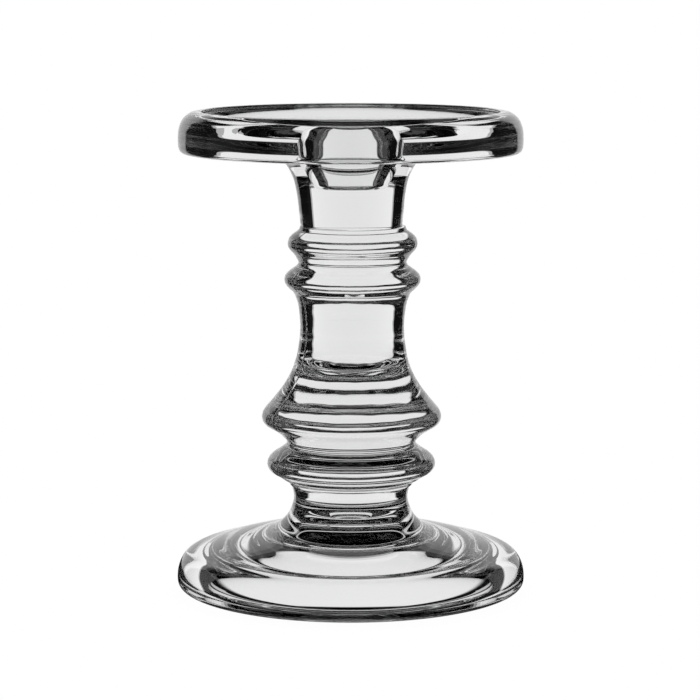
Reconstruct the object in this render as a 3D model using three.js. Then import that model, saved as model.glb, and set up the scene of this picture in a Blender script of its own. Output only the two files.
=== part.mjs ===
// Pressed-glass candlestick, 137 mm tall: a round foot, a moulded stem with
// knops and a rimmed dish, three solid pieces of clear glass standing on each
// other on one axis. The foot is hollow underneath. The dish takes a pillar
// candle in its recess or a taper in the blind conical socket at its centre.
//
// Millimetres, +Z up, origin at the middle of the foot's underside.

import * as THREE from 'three';

// ---------------------------------------------------------------- dimensions

const SEGMENTS = 48;            // facets round the axis
const WELD_GAP = 0.3;           // clearance kept at each weld line

// foot
const FOOT_R = 50.0;            // largest radius of the foot
const FOOT_BEARING_R = 45.6;    // outer edge of the ring the foot stands on
const HOLLOW_R = 44.58;         // inner edge of that ring, mouth of the hollow
const HOLLOW_Z = 20.28;         // highest place of the hollow, under the neck
const BOSS_Z = 16.84;           // small boss left in the middle of the hollow
const FOOT_SHOULDER_Z = 10.7;   // top of the rounded rim of the foot
const LOWER_NECK_R = 16.35;     // narrowest place of the lower neck

// stem
const STEM_BOTTOM_Z = 30.1;     // weld line, foot to stem
const STEM_TOP_Z = 104.3;       // weld line, stem to dish
const RING_R = 24.12;           // lower ring knop
const RING_Z = 36.1;
const BELL_R = 25.72;           // bell knop
const BELL_Z = 49.6;
const WAIST_R = 14.84;          // waist above the bell
const WAIST_Z = 75.2;
const LOWER_BEAD_R = 19.4;      // lower of the twin beads
const LOWER_BEAD_Z = 89.2;
const UPPER_BEAD_R = 18.45;     // upper of the twin beads
const UPPER_BEAD_Z = 99.6;

// dish
const UPPER_NECK_R = 14.6;      // narrowest place of the upper neck
const DISH_R = 48.92;           // outside of the dish
const DISH_UNDER_Z = 125.0;     // flat underside of the dish
const DISH_TOP_Z = 136.9;       // top of the rounded rim
const RIM_CREST_R = 43.4;       // where the rim is highest
const RECESS_R = 38.2;          // flat floor for a pillar candle
const FLOOR_Z = 132.3;
const SOCKET_R = 11.2;          // conical taper socket, just under its mouth
const SOCKET_MOUTH_R = 12.8;    // its rounded mouth
const SOCKET_LOW_R = 7.2;       // at the bottom of the cone
const SOCKET_FLOOR_Z = 115.6;
const SOCKET_CORNER_R = 2.4;    // rounding at the bottom of the socket

// ------------------------------------------------------------------- helpers

// A smooth run through the given [radius, height] stations.
function curve(stations, steps) {
  const line = new THREE.SplineCurve(stations.map(([r, z]) => new THREE.Vector2(r, z)));
  return line.getSpacedPoints(steps).map((p) => [p.x, p.y]);
}

// A circular arc in the profile plane, angles in degrees from +radius to +Z.
function arc(cr, cz, rad, from, to, steps) {
  const points = [];
  for (let i = 0; i <= steps; i++) {
    const a = THREE.MathUtils.degToRad(from + ((to - from) * i) / steps);
    points.push([cr + rad * Math.cos(a), cz + rad * Math.sin(a)]);
  }
  return points;
}

// One closed body of revolution about +Z from a profile that starts on the
// axis at the bottom and ends on the axis at the top.
function turned(name, profile, color) {
  const points = [];
  for (const [r, z] of profile) {
    const last = points[points.length - 1];
    if (last && Math.hypot(last.x - r, last.y - z) < 0.02) continue;
    points.push(new THREE.Vector2(Math.max(r, 0), z));
  }
  const geometry = new THREE.LatheGeometry(points, SEGMENTS);
  geometry.rotateX(Math.PI / 2);
  const material = new THREE.MeshStandardMaterial({
    color, roughness: 0.03, metalness: 0, transparent: true, opacity: 0.35,
  });
  const mesh = new THREE.Mesh(geometry, material);
  mesh.name = name;
  return mesh;
}

// --------------------------------------------------------------------- pieces

// Foot: a rounded disc, hollowed out deeply underneath so that it stands on a
// narrow ring, rising through a soft fillet into the lower neck. The hollow has
// a domed middle with a small boss, a low ridge and a channel inside the rim.
const footProfile = [
  [0, BOSS_Z],
  ...curve([
    [1.5, BOSS_Z - 0.19], [4, 15.22], [7.5, 20.12], [11, HOLLOW_Z], [14.5, 17.42],
    [18, 12.3], [24, 12.44], [30, 3.36], [36, 6.04], [38.7, 8.14], [41, 1.73],
    [43.68, 0.69], [HOLLOW_R, 0],
  ], 34),
  [FOOT_BEARING_R, 0],
  ...curve([
    [FOOT_BEARING_R + 1.1, 0.08], [48.1, 0.32], [49.1, 0.8], [49.8, 1.6],
    [FOOT_R, 2.9], [49.9, 4.6], [49.35, 6.8], [48.1, 8.9], [46.3, 10.2],
    [44.3, FOOT_SHOULDER_Z],
  ], 10),
  ...curve([
    [44.3, FOOT_SHOULDER_Z + 0.03], [40.6, 12.0], [35.3, 13.6], [30.0, 14.95],
    [25.5, 15.95], [22.2, 17.05], [19.7, 18.8], [18.0, 21.0], [16.9, 23.2],
    [LOWER_NECK_R, 25.5], [16.55, 27.6], [17.2, STEM_BOTTOM_Z - WELD_GAP],
  ], 12),
  [0, STEM_BOTTOM_Z - WELD_GAP],
];

// Stem: ring knop, bell knop, waist and twin beads in one moulding.
const stemProfile = [
  [0, STEM_BOTTOM_Z],
  ...curve([
    [17.7, STEM_BOTTOM_Z], [18.6, 31.1], [20.7, 32.5], [22.9, 33.8],
    [24.0, 35.1], [RING_R, RING_Z], [23.7, 37.4], [22.4, 38.7],
    [20.4, 39.9], [18.8, 41.2], [18.4, 42.2], [19.1, 43.2], [20.6, 44.9],
    [22.9, 46.35], [24.7, 47.4], [25.6, 48.6], [BELL_R, BELL_Z],
    [25.3, 51.0], [23.9, 53.0], [22.0, 55.3], [19.9, 58.0], [18.05, 61.0],
    [16.6, 64.5], [15.6, 68.2], [15.05, 71.8], [WAIST_R, WAIST_Z],
    [14.95, 78.0], [15.4, 81.6], [16.3, 84.4],
  ], 29),
  ...curve([
    [16.8, 85.35], [18.4, 86.95], [19.3, 88.3], [LOWER_BEAD_R, LOWER_BEAD_Z],
    [18.9, 90.5], [17.3, 91.9], [15.8, 93.1], [15.4, 93.9], [15.9, 95.1],
    [17.3, 97.0], [18.25, 98.3], [UPPER_BEAD_R, UPPER_BEAD_Z], [18.1, 100.8],
    [16.9, 102.0], [15.4, 103.2], [15.0, STEM_TOP_Z - WELD_GAP],
  ], 16),
  [0, STEM_TOP_Z - WELD_GAP],
];

// Dish: upper neck, flat-bottomed dish with a thick rounded rim, a recess for
// a pillar candle and a blind taper socket in the middle of its floor.
const dishProfile = [
  [0, STEM_TOP_Z],
  ...curve([
    [14.45, STEM_TOP_Z], [UPPER_NECK_R, 106.0], [14.85, 108.8], [15.15, 111.2],
    [15.55, 114.4], [16.1, 117.1], [16.9, 119.5], [18.0, 121.8],
    [19.8, 123.7], [22.5, 124.8], [25.0, DISH_UNDER_Z],
  ], 9),
  [45.6, DISH_UNDER_Z],
  ...curve([
    [46.9, DISH_UNDER_Z + 0.06], [48.1, DISH_UNDER_Z + 0.5],
    [48.75, DISH_UNDER_Z + 1.35], [DISH_R, DISH_UNDER_Z + 2.9],
    [DISH_R, 129.6], [48.7, 132.1], [48.0, 134.05], [46.65, 135.7],
    [45.1, 136.6], [RIM_CREST_R, DISH_TOP_Z],
    [42.8, 135.8], [42.0, 134.6], [41.3, 133.4],
    [39.3, FLOOR_Z + 0.4], [38.8, FLOOR_Z + 0.12],
  ], 18),
  [RECESS_R, FLOOR_Z],
  [SOCKET_MOUTH_R, FLOOR_Z],
  [SOCKET_R + 0.45, FLOOR_Z - 0.22],
  [SOCKET_R + 0.1, FLOOR_Z - 0.6],
  [SOCKET_R, FLOOR_Z - 1],
  ...arc(SOCKET_LOW_R - SOCKET_CORNER_R, SOCKET_FLOOR_Z + SOCKET_CORNER_R, SOCKET_CORNER_R, 0, -90, 4),
  [0, SOCKET_FLOOR_Z],
];

const foot = turned('foot', footProfile, 0xe9eceb);
const stem = turned('knopped_stem', stemProfile, 0xe4e8e7);
const dish = turned('candle_dish', dishProfile, 0xeef1f0);

const candlestick = new THREE.Group();
candlestick.add(foot, stem, dish);

export default candlestick;
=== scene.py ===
# Clear pressed-glass candlestick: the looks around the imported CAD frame.
# Three glass pieces (foot, stem, dish) are turned in mesh code as closed
# bodies that meet at two weld planes. The discs where they meet carry a clear
# "weld" material, because hot-welded glass has no optical surface inside.

import math

import bpy
import numpy as np
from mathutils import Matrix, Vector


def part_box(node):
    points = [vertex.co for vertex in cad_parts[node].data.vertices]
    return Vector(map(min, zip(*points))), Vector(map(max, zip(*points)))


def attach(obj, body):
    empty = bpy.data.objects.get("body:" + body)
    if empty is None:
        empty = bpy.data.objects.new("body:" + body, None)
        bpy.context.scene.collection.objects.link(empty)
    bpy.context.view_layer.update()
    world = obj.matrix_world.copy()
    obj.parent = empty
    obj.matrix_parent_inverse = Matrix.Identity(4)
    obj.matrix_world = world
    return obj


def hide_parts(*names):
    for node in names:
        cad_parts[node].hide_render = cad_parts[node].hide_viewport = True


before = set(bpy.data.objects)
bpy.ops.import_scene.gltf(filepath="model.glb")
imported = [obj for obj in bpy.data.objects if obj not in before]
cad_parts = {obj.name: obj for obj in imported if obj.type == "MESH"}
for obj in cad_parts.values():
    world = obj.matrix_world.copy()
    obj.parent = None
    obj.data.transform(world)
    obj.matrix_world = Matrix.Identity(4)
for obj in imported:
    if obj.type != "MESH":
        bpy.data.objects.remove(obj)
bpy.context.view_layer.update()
scene = bpy.context.scene

MM = 0.001
foot_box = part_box("foot")
stem_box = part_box("knopped_stem")
dish_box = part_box("candle_dish")
WELD_LOW = (foot_box[1][2] + stem_box[0][2]) / 2 / MM     # mm, foot to stem
WELD_HIGH = (stem_box[1][2] + dish_box[0][2]) / 2 / MM    # mm, stem to dish
TOP = dish_box[1][2] / MM

# ------------------------------------------------------------ profile curves


def smooth(stations, step=0.16):
    """A C2 cubic through [r, z] stations, sampled every `step` mm."""
    p = np.array(stations, float)
    n = len(p)
    h = np.hypot(*np.diff(p, axis=0).T)
    t = np.r_[0, np.cumsum(h)]
    a = np.zeros((n, n))
    b = np.zeros((n, 2))
    a[0, 0] = a[-1, -1] = 1
    for i in range(1, n - 1):
        a[i, i - 1], a[i, i], a[i, i + 1] = h[i - 1], 2 * (h[i - 1] + h[i]), h[i]
        b[i] = 6 * ((p[i + 1] - p[i]) / h[i] - (p[i] - p[i - 1]) / h[i - 1])
    m = np.linalg.solve(a, b)
    q = np.linspace(0, t[-1], max(2, int(math.ceil(t[-1] / step))) + 1)
    k = np.clip(np.searchsorted(t, q, side="right") - 1, 0, n - 2)
    hh = h[k][:, None]
    u = (t[k + 1] - q)[:, None]
    v = (q - t[k])[:, None]
    return (m[k] * u ** 3 / (6 * hh) + m[k + 1] * v ** 3 / (6 * hh)
            + (p[k] / hh - m[k] * hh / 6) * u + (p[k + 1] / hh - m[k + 1] * hh / 6) * v)


def arc(cr, cz, rad, a0, a1, step=0.16):
    n = max(4, int(abs(math.radians(a1 - a0)) * rad / step))
    a = np.radians(np.linspace(a0, a1, n + 1))
    return np.c_[cr + rad * np.cos(a), cz + rad * np.sin(a)]


def line(a, b, step=0.8):
    a, b = np.array(a, float), np.array(b, float)
    n = max(1, int(np.hypot(*(b - a)) / step))
    return a + (b - a) * np.linspace(0, 1, n + 1)[:, None]


def joined(*runs):
    out = []
    for run in runs:
        for q in np.atleast_2d(run):
            if out and math.hypot(out[-1][0] - q[0], out[-1][1] - q[1]) < 2e-3:
                continue
            out.append((float(q[0]), float(q[1])))
    return np.array(out)


# foot -------------------------------------------------------------------
BEARING_IN = 44.58
BEARING_OUT = 45.6
HOLLOW = [(0, 16.84), (1.5, 16.65), (4, 15.22), (7.5, 20.12), (11, 20.28), (14.5, 17.42), (18, 12.3),
          (24, 12.44), (30, 3.36), (36, 6.04), (38.7, 8.14), (41, 1.73), (43.68, 0.69),
          (BEARING_IN, 0.0)]
foot_outer = [
    (BEARING_OUT, 0.0), (46.7, 0.06), (48.1, 0.32), (49.1, 0.8), (49.75, 1.6), (49.98, 2.9),
    (49.9, 4.6), (49.35, 6.8), (48.1, 8.9), (46.3, 10.25), (44.3, 10.85), (42.4, 11.4),
    (38.9, 12.55), (35.3, 13.6), (31.7, 14.5), (28.2, 15.3), (24.9, 16.15), (22.1, 17.3),
    (19.8, 18.95), (18.05, 21.0), (17.0, 23.2), (16.4, 25.5), (16.5, 27.6), (17.2, WELD_LOW)]
FOOT_WELD_R = 17.2

# stem -------------------------------------------------------------------
stem_outer = [
    (17.65, WELD_LOW), (18.4, 30.95), (19.8, 31.75), (21.3, 32.8), (22.6, 33.5), (23.5, 34.25),
    (24.0, 35.2), (24.12, 36.15), (23.8, 37.2), (23.1, 38.15), (22.0, 39.0), (20.6, 39.85),
    (19.3, 40.85), (18.55, 41.75), (18.6, 42.6), (19.5, 43.7), (20.7, 44.85), (22.2, 45.9),
    (23.6, 46.7), (24.8, 47.5), (25.5, 48.45), (25.72, 49.6), (25.4, 50.9), (24.5, 52.25),
    (23.0, 54.0), (21.6, 55.75), (20.25, 57.5), (19.05, 59.3), (18.05, 61.0), (17.2, 62.75),
    (16.55, 64.5), (16.0, 66.3), (15.6, 68.2), (15.3, 70.0), (15.05, 71.9), (14.88, 74.0),
    (14.85, 76.2), (14.98, 78.2), (15.2, 80.2), (15.5, 82.0), (16.0, 83.6), (16.8, 85.3),
    (17.7, 86.2), (18.6, 87.1), (19.2, 88.0), (19.42, 89.1), (19.1, 90.3), (18.1, 91.35),
    (16.9, 92.25), (15.8, 93.1), (15.42, 93.95), (15.8, 94.9), (16.7, 96.3), (17.7, 97.4),
    (18.3, 98.3), (18.47, 99.4), (18.2, 100.6), (17.4, 101.65), (16.2, 102.55), (15.35, 103.3),
    (15.05, WELD_HIGH)]

# dish -------------------------------------------------------------------
DISH_WELD_R = 14.45
UNDER = 125.0
FLOOR = 132.3
RECESS_R = 39.0
SOCKET_R = 11.2                 # just under the mouth
SOCKET_LOW_R = 7.2              # at the bottom
SOCKET_FLOOR = 115.6
SOCKET_CORNER = 2.4
MOUTH = 1.0
neck_outer = [
    (DISH_WELD_R, WELD_HIGH), (14.6, 105.6), (14.8, 107.6), (15.0, 109.8), (15.2, 112.0),
    (15.55, 114.3), (15.95, 116.3), (16.5, 118.2), (17.3, 120.0), (18.5, 121.9), (20.2, 123.5),
    (22.5, 124.6), (25.5, UNDER)]
rim_outer = [
    (45.6, UNDER), (46.7, 125.03), (47.7, 125.25), (48.35, 125.75), (48.7, 126.5), (48.86, 127.6),
    (48.9, 128.9), (48.86, 130.3), (48.68, 131.9), (48.2, 133.4), (47.45, 134.8), (46.4, 135.8),
    (45.0, 136.55), (43.4, TOP - 0.03)]
rim_inner = [
    (43.4, TOP - 0.03), (42.3, 136.62), (RECESS_R + 3.8, 135.8), (RECESS_R + 3.0, 134.6),
    (RECESS_R + 2.27, 133.2), (RECESS_R + 0.24, FLOOR + 0.45), (RECESS_R - 0.28, FLOOR + 0.1),
    (RECESS_R - 0.81, FLOOR)]


def foot_profile():
    p = joined(smooth(HOLLOW), line((BEARING_IN, 0), (BEARING_OUT, 0)), smooth(foot_outer),
               line((FOOT_WELD_R, WELD_LOW), (0, WELD_LOW), 2.0))
    return p, len(p) - len(line((FOOT_WELD_R, WELD_LOW), (0, WELD_LOW), 2.0))


def stem_profile():
    low = line((0, WELD_LOW), (FOOT_WELD_R, WELD_LOW), 2.0)
    high = line((DISH_WELD_R, WELD_HIGH), (0, WELD_HIGH), 2.0)
    p = joined(low, smooth(stem_outer), high)
    return p, len(low) - 1, len(p) - len(high)


def dish_profile():
    low = line((0, WELD_HIGH), (DISH_WELD_R, WELD_HIGH), 2.0)
    m, k = MOUTH, SOCKET_CORNER
    mouth = [(SOCKET_R + m + 0.6, FLOOR), (SOCKET_R + m * 0.45, FLOOR - m * 0.22),
             (SOCKET_R + m * 0.1, FLOOR - m * 0.6), (SOCKET_R, FLOOR - m)]
    corner = [(SOCKET_LOW_R, SOCKET_FLOOR + k), (SOCKET_LOW_R - k * 0.12, SOCKET_FLOOR + k * 0.5),
              (SOCKET_LOW_R - k * 0.45, SOCKET_FLOOR + k * 0.14), (SOCKET_LOW_R - k, SOCKET_FLOOR)]
    p = joined(
        low, smooth(neck_outer), line((25.5, UNDER), (45.6, UNDER)), smooth(rim_outer),
        smooth(rim_inner), line(rim_inner[-1], mouth[0]), smooth(mouth, 0.1),
        line(mouth[-1], corner[0]), smooth(corner, 0.1), line(corner[-1], (0, SOCKET_FLOOR)))
    return p, len(low) - 1


# -------------------------------------------------------------- turned bodies


def angles(base, seams=()):
    """Azimuths from -Y, even all round and close together over each seam."""
    th = list(np.linspace(0, 2 * math.pi, base, endpoint=False))
    for s in seams:
        s0 = math.radians(s) % (2 * math.pi)
        th = [t for t in th if abs((t - s0 + math.pi) % (2 * math.pi) - math.pi) > 0.075]
        th += [(s0 + d) % (2 * math.pi) for d in np.linspace(-0.072, 0.072, 33)]
    return np.array(sorted(th))


def turned(name, profile, th, weld_runs=(), relief=None, lean=None):
    """A closed body of revolution. relief(r, z, th) moves the skin in or out,
    lean(z) shifts the axis sideways, both in mm. weld_runs are the index
    ranges of the profile that lie on a weld disc."""
    n, m = len(profile), len(th)
    rings, verts, faces, mats = [], [], [], []
    s, c = np.sin(th), np.cos(th)
    on_weld = np.zeros(n, bool)
    for a, b in weld_runs:
        on_weld[a:b + 1] = True
    for i, (r, z) in enumerate(profile):
        if r < 1e-6:
            rings.append([len(verts)])
            verts.append((0.0, 0.0, z * MM))
            continue
        rr = np.full(m, r)
        if relief is not None and not on_weld[i]:
            rr = rr + relief(r, z, th)
        dx = lean(z) if (lean is not None and not on_weld[i]) else 0.0
        first = len(verts)
        verts.extend(zip((rr * s + dx) * MM, -rr * c * MM, np.full(m, z * MM)))
        rings.append(range(first, first + m))
    for i in range(n - 1):
        a, b = rings[i], rings[i + 1]
        weld = 1 if (on_weld[i] and on_weld[i + 1]) else 0
        for k in range(m):
            j = (k + 1) % m
            if len(a) == 1:
                faces.append((a[0], b[j], b[k]))
            elif len(b) == 1:
                faces.append((a[k], a[j], b[0]))
            else:
                faces.append((a[k], a[j], b[j], b[k]))
            mats.append(weld)
    me = bpy.data.meshes.new(name)
    me.from_pydata(verts, [], faces)
    me.polygons.foreach_set("use_smooth", [True] * len(faces))
    me.polygons.foreach_set("material_index", mats)
    me.update()
    ob = bpy.data.objects.new(name, me)
    scene.collection.objects.link(ob)
    return ob


def ramp(x, a, b):
    t = np.clip((x - a) / (b - a), 0, 1)
    return t * t * (3 - 2 * t)


SEAMS = (-60.0, 120.0)          # a two-part mould, degrees from the front


def stem_relief(r, z, th):
    """Fine mould seams and the slow waviness of a chilled, moulded skin."""
    out = np.zeros_like(th)
    for sdeg in SEAMS:
        d = (th - math.radians(sdeg) + math.pi) % (2 * math.pi) - math.pi
        out += 0.13 * np.exp(-(d * r / 0.26) ** 2)
    fade = float(ramp(z, WELD_LOW, WELD_LOW + 1.5) * (1 - ramp(z, WELD_HIGH - 1.5, WELD_HIGH)))
    wave = (0.012 * np.sin(5 * th + 0.35 * z) + 0.009 * np.sin(11 * th - 0.6 * z + 1.1)
            + 0.005 * np.sin(17 * th + 1.1 * z + 0.4) + 0.002 * np.sin(29 * th - 1.6 * z))
    return (out + wave) * fade


def stem_lean(z):
    return 0.10 + 0.50 * (z - WELD_LOW) / (WELD_HIGH - WELD_LOW)


def dish_lean(z):
    return 0.20 * (1 - float(ramp(z, WELD_HIGH, UNDER)))


# ------------------------------------------------------------------ materials


def base_material(name):
    m = bpy.data.materials.new(name)
    m.use_nodes = True
    nt = m.node_tree
    b = nt.nodes["Principled BSDF"]
    return m, nt, b


def node(nt, kind, **values):
    n = nt.nodes.new(kind)
    for k, v in values.items():
        if hasattr(n, k):
            setattr(n, k, v)
        else:
            n.inputs[k.replace("_", " ")].default_value = v
    return n


def glass_material(name, tint, ripple_scale, ripple, fine_scale, fine, stretch, rough):
    """Colourless glass: a slow pressing ripple and a finer chill texture in the
    bump, a touch of roughness that varies over the skin, and a faint tint."""
    m, nt, b = base_material(name)
    b.inputs["Transmission Weight"].default_value = 1.0
    b.inputs["IOR"].default_value = 1.5
    b.inputs["Specular IOR Level"].default_value = 0.5
    tc = nt.nodes.new("ShaderNodeTexCoord")
    mp = nt.nodes.new("ShaderNodeMapping")
    mp.inputs["Scale"].default_value = stretch
    nt.links.new(tc.outputs["Object"], mp.inputs["Vector"])

    slow = node(nt, "ShaderNodeTexNoise")
    slow.inputs["Scale"].default_value = ripple_scale
    slow.inputs["Detail"].default_value = 2.0
    slow.inputs["Roughness"].default_value = 0.45
    nt.links.new(mp.outputs["Vector"], slow.inputs["Vector"])
    quick = node(nt, "ShaderNodeTexNoise")
    quick.inputs["Scale"].default_value = fine_scale
    quick.inputs["Detail"].default_value = 3.0
    quick.inputs["Roughness"].default_value = 0.5
    nt.links.new(mp.outputs["Vector"], quick.inputs["Vector"])

    b1 = nt.nodes.new("ShaderNodeBump")
    b1.inputs["Strength"].default_value = 1.0
    b1.inputs["Distance"].default_value = ripple
    nt.links.new(slow.outputs["Fac"], b1.inputs["Height"])
    b2 = nt.nodes.new("ShaderNodeBump")
    b2.inputs["Strength"].default_value = 1.0
    b2.inputs["Distance"].default_value = fine
    nt.links.new(quick.outputs["Fac"], b2.inputs["Height"])
    nt.links.new(b1.outputs["Normal"], b2.inputs["Normal"])
    nt.links.new(b2.outputs["Normal"], b.inputs["Normal"])

    mr = nt.nodes.new("ShaderNodeMapRange")
    mr.inputs["From Min"].default_value = 0.42
    mr.inputs["From Max"].default_value = 0.75
    mr.inputs["To Min"].default_value = rough[0]
    mr.inputs["To Max"].default_value = rough[1]
    nt.links.new(quick.outputs["Fac"], mr.inputs["Value"])
    nt.links.new(mr.outputs["Result"], b.inputs["Roughness"])

    cr = nt.nodes.new("ShaderNodeValToRGB")
    cr.color_ramp.elements[0].position = 0.3
    cr.color_ramp.elements[0].color = (*[t * 0.985 for t in tint], 1)
    cr.color_ramp.elements[1].position = 0.75
    cr.color_ramp.elements[1].color = (*tint, 1)
    nt.links.new(slow.outputs["Fac"], cr.inputs["Fac"])
    nt.links.new(cr.outputs["Color"], b.inputs["Base Color"])
    return m


def weld_material():
    """The disc inside a hot weld: nothing to see, light goes straight on."""
    m = bpy.data.materials.new("weld_plane")
    m.use_nodes = True
    nt = m.node_tree
    nt.nodes.clear()
    out = nt.nodes.new("ShaderNodeOutputMaterial")
    tr = nt.nodes.new("ShaderNodeBsdfTransparent")
    tr.inputs["Color"].default_value = (1, 1, 1, 1)
    nt.links.new(tr.outputs["BSDF"], out.inputs["Surface"])
    return m


clear = glass_material("clear_glass", (0.992, 0.996, 0.994), 38.0, 0.000004, 240.0, 0.0000001,
                       (1.0, 1.0, 1.0), (0.0, 0.001))
moulded = glass_material("moulded_glass", (0.99, 0.995, 0.993), 120.0, 0.000006, 520.0, 0.0000003,
                         (1.0, 1.0, 1.6), (0.0, 0.001))
weld = weld_material()

fp, fw = foot_profile()
foot = turned("foot_glass", fp, angles(320), weld_runs=[(fw, len(fp) - 1)], relief=None)
sp, s0, s1 = stem_profile()
stem = turned("stem_glass", sp, angles(288, SEAMS), weld_runs=[(0, s0), (s1, len(sp) - 1)],
              relief=stem_relief, lean=stem_lean)
dp, d0 = dish_profile()
dish = turned("dish_glass", dp, angles(320), weld_runs=[(0, d0)], lean=dish_lean)
for ob, mat, cad, slot in ((foot, clear, "foot", "clear_glass"),
                           (stem, moulded, "knopped_stem", "moulded_glass"),
                           (dish, clear, "candle_dish", "clear_glass")):
    ob.data.materials.append(mat)
    ob.data.materials.append(weld)
    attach(ob, "root")
    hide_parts(cad)

# ---------------------------------------------------------------------- studio
# A white sweep lights the glass from behind through a limited opening, with
# dark flags beside it and very dim panels further round. The camera itself
# sees plain white floor and background.


def glow(name):
    m = bpy.data.materials.new(name)
    m.use_nodes = True
    nt = m.node_tree
    nt.nodes.clear()
    out = nt.nodes.new("ShaderNodeOutputMaterial")
    em = nt.nodes.new("ShaderNodeEmission")
    at = nt.nodes.new("ShaderNodeAttribute")
    at.attribute_name = "glow"
    nt.links.new(at.outputs["Fac"], em.inputs["Strength"])
    nt.links.new(em.outputs["Emission"], out.inputs["Surface"])
    m.cycles.emission_sampling = "NONE"
    return m


LEFT, RIGHT = -39.0, 35.0


def sector(az):
    """Brightness of the surroundings against azimuth, 0 straight behind."""
    opening = ramp(az, LEFT - 1.5, LEFT + 1.5) * (1 - ramp(az, RIGHT - 1.5, RIGHT + 1.5))
    v = (0.83 + 0.12 * (az / 38.0) ** 2) * opening
    a = abs(az)
    v = max(v, 0.06 * ramp(a, 70, 75) * (1 - ramp(a, 106, 112)))
    v = max(v, 0.02 * ramp(a, 142, 150))
    return float(max(v, 0.004))


def dome_glow(az, el):
    v = sector(az)
    t = float(ramp(el, 25, 35))
    return v * (1 - t)


# Painted light and shade on the floor beneath the glass, which only rays through the glass see: a
# bright painted pool under the front half of the foot where back light through the glass would land,
# a lit ring under the back of the bearing ring, painted shadow under the back half and at the centre,
# a dim ring just round the foot and dark floor out to about 85 mm; further out the floor takes the
# sweep's brightness by azimuth.
def floor_glow_and_painted_shade(r, az):
    if 0.037 < r < 0.0445 and abs(az) < 95:
        return 0.6
    if r < 0.0445:
        return 0.88 * float(ramp(abs(az), 103, 111)) * float(ramp(r, 0.013, 0.018))
    if r < 0.052:
        return 0.05
    v = sector(az)
    return v * float(ramp(r, 0.085, 0.10))


def polar_mesh(name, first, second, place, value):
    rows, cols = len(first), len(second)
    verts = [place(a, b) for a in first for b in second]
    faces, glows = [], []
    for i in range(rows - 1):
        for j in range(cols - 1):
            faces.append((i * cols + j, (i + 1) * cols + j, (i + 1) * cols + j + 1, i * cols + j + 1))
            glows.append(value((first[i] + first[i + 1]) / 2, (second[j] + second[j + 1]) / 2))
    me = bpy.data.meshes.new(name)
    me.from_pydata(verts, [], faces)
    at = me.attributes.new("glow", "FLOAT", "FACE")
    at.data.foreach_set("value", glows)
    ob = bpy.data.objects.new(name, me)
    scene.collection.objects.link(ob)
    return ob


SWEEP_R = 2.5
az_steps = np.arange(-180, 180.1, 2.0)
el_steps = np.arange(0, 90.1, 2.5)
sweep = polar_mesh(
    "studio_sweep", az_steps, el_steps,
    lambda a, e: (SWEEP_R * math.cos(math.radians(e)) * math.sin(math.radians(a)),
                  SWEEP_R * math.cos(math.radians(e)) * math.cos(math.radians(a)),
                  SWEEP_R * math.sin(math.radians(e))), dome_glow)
sweep.data.materials.append(glow("sweep_glow"))
sweep.visible_camera = False

r_steps = np.r_[0.001, np.linspace(0.01, 0.06, 26), np.geomspace(0.065, SWEEP_R, 30)]
# The floor under the glass, hidden from the camera: an emitting mesh with painted light and painted
# shadow on it.
under_glass_painted_light_and_shade = polar_mesh(
    "under_glass_painted_light_and_shade", az_steps, r_steps,
    lambda a, r: (r * math.sin(math.radians(a)), r * math.cos(math.radians(a)), -0.0005),
    lambda a, r: floor_glow_and_painted_shade(r, a))
under_glass_painted_light_and_shade.data.materials.append(glow("under_glass_painted_light_and_shade"))
under_glass_painted_light_and_shade.visible_camera = False

# what the camera sees: a pale floor with the faintest contact shade
floor = polar_mesh(
    "pale_floor", az_steps, r_steps,
    lambda a, r: (r * math.sin(math.radians(a)), r * math.cos(math.radians(a)), -0.0009),
    lambda a, r: 1.0 - 0.015 * float(1 - ramp(r, 0.046, 0.056)))
floor.data.materials.append(glow("floor_glow_and_painted_shade"))
for flag in ("visible_diffuse", "visible_glossy", "visible_transmission", "visible_volume_scatter",
             "visible_shadow"):
    setattr(floor, flag, False)

world = bpy.data.worlds.new("studio")
scene.world = world
world.use_nodes = True
wn = world.node_tree
lp = wn.nodes.new("ShaderNodeLightPath")
bg = wn.nodes["Background"]
bg.inputs["Color"].default_value = (1, 1, 1, 1)
wn.links.new(lp.outputs["Is Camera Ray"], bg.inputs["Strength"])

# ---------------------------------------------------------------------- camera
cam = bpy.data.cameras.new("camera")
cam_ob = bpy.data.objects.new("camera", cam)
scene.collection.objects.link(cam_ob)
cam.sensor_width = 36.0
cam.lens = 36.0 * 2752.12 / 700.0
cam.clip_start = 0.01
cam.clip_end = 50.0
cam_ob.location = (-0.0002, -0.780, 0.17835)
cam_ob.rotation_euler = (math.pi / 2 - 0.139842, 0.0, 0.0)
scene.camera = cam_ob

scene.view_settings.view_transform = "Standard"
scene.view_settings.look = "None"
scene.cycles.max_bounces = 40
scene.cycles.transmission_bounces = 40
scene.cycles.glossy_bounces = 24
scene.cycles.transparent_max_bounces = 64
scene.cycles.sample_clamp_indirect = 0
